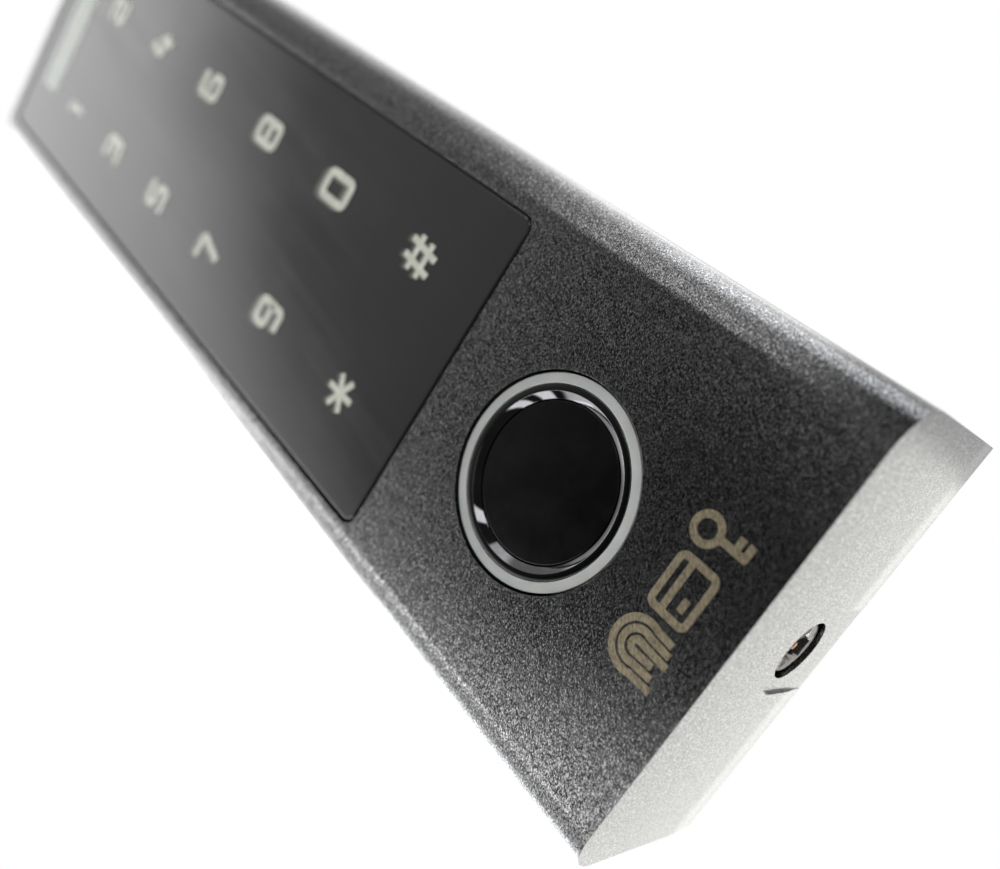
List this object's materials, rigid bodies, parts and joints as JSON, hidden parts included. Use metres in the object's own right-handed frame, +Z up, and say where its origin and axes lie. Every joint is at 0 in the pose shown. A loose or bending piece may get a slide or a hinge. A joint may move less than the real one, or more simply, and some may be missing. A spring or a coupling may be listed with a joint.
{
  "type": "fingerprint scanner terminal",
  "caption": "Slim wall-mounted access terminal with a round fingerprint reader below a two-column touch keypad, hooked on a wall plate and locked by a bottom screw.",
  "frame": {"origin": "middle of the bottom end face of the terminal, half way between its front and the wall plane", "axes": "+Z up the wall along the terminal's length, +Y into the wall, +X to the right as seen from the front; the front face looks towards -Y"},
  "size_m": [0.05, 0.0248, 0.172],
  "materials": {
    "housing": "fine-textured dark grey powder coat with metallic flake",
    "touch_panel": "glossy smoked acrylic with pale printed key legends",
    "adhesive_tape": "black foam tape",
    "diffuser": "milky polycarbonate",
    "circuit_board": "green solder mask",
    "copper": "enamelled copper wire",
    "light_ring": "milky light-guide ring",
    "bezel": "dark polished chrome",
    "sensor_face": "satin black sensor coating",
    "seal": "black rubber",
    "black_plastic": "moulded black plastic",
    "white_plastic": "natural nylon",
    "ribbon": "amber flexible circuit",
    "chip": "moulded epoxy",
    "relay": "blue relay case",
    "lamp": "small surface-mount lamp",
    "aluminium": "satin can",
    "cable": "dark cable jacket",
    "steel": "plain steel",
    "dark_steel": "blackened stainless steel",
    "zinc_steel": "zinc-plated sheet steel"
  },
  "bodies": {
    "wall_plate": {"wall_plate": "zinc_steel"},
    "terminal": {"antenna_coil": "copper", "board_to_board_header": "black_plastic", "buzzer": "black_plastic", "cable": "cable", "cable_grommet": "seal", "cable_plug": "white_plastic", "capacitor": "aluminium", "cover_screw_1": "steel", "cover_screw_2": "steel", "cover_screw_3": "steel", "cover_screw_4": "steel", "cover_screw_5": "steel", "cover_screw_6": "steel", "front_housing": "housing", "harness_socket": "white_plastic", "key_lamp_1": "lamp", "key_lamp_10": "lamp", "key_lamp_11": "lamp", "key_lamp_12": "lamp", "key_lamp_2": "lamp", "key_lamp_3": "lamp", "key_lamp_4": "lamp", "key_lamp_5": "lamp", "key_lamp_6": "lamp", "key_lamp_7": "lamp", "key_lamp_8": "lamp", "key_lamp_9": "lamp", "key_light_guide": "diffuser", "main_board": "circuit_board", "panel_adhesive": "adhesive_tape", "power_inductor": "chip", "processor": "chip", "rear_cover": "black_plastic", "rear_seal": "seal", "relay": "relay", "screw_keeper_ring": "steel", "sensor_bezel": "bezel", "sensor_board": "circuit_board", "sensor_carrier": "black_plastic", "sensor_face": "sensor_face", "sensor_gasket": "seal", "sensor_light_ring": "light_ring", "sensor_retaining_ring": "steel", "sensor_ribbon": "ribbon", "status_lamp_left": "lamp", "status_lamp_right": "lamp", "status_light_bar": "diffuser", "tamper_spring": "steel", "tamper_switch_body": "black_plastic", "touch_board": "circuit_board", "touch_panel": "touch_panel"},
    "tamper_plunger": {"tamper_plunger": "white_plastic"},
    "screw_washer": {"screw_washer": "white_plastic"},
    "security_screw": {"security_screw": "dark_steel"}
  },
  "joints": [
    {"name": "terminal_tilt", "type": "hinge", "parent": "wall_plate", "child": "terminal", "pos_m": [0, 0.0124, 0.172], "axis": [-1, 0, 0], "range_deg": [0, 12]},
    {"name": "tamper_travel", "type": "slide", "parent": "terminal", "child": "tamper_plunger", "axis": [0, 1, 0], "range_m": [0, 0.0021], "deforming": ["tamper_spring"]},
    {"name": "screw_travel", "type": "slide", "parent": "terminal", "child": "screw_washer", "axis": [0, 0, 1], "range_m": [0, 0.0028]},
    {"name": "screw_turn", "type": "hinge", "parent": "screw_washer", "child": "security_screw", "pos_m": [0, 0.004, 0.0007], "axis": [0, 0, 1], "range_deg": [0, 1441]}
  ],
  "couplings": [
    {"joint": "tamper_travel", "follows": "terminal_tilt", "m_per_rad": 0.01},
    {"joint": "screw_turn", "follows": "screw_travel", "rad_per_m": 8976}
  ]
}
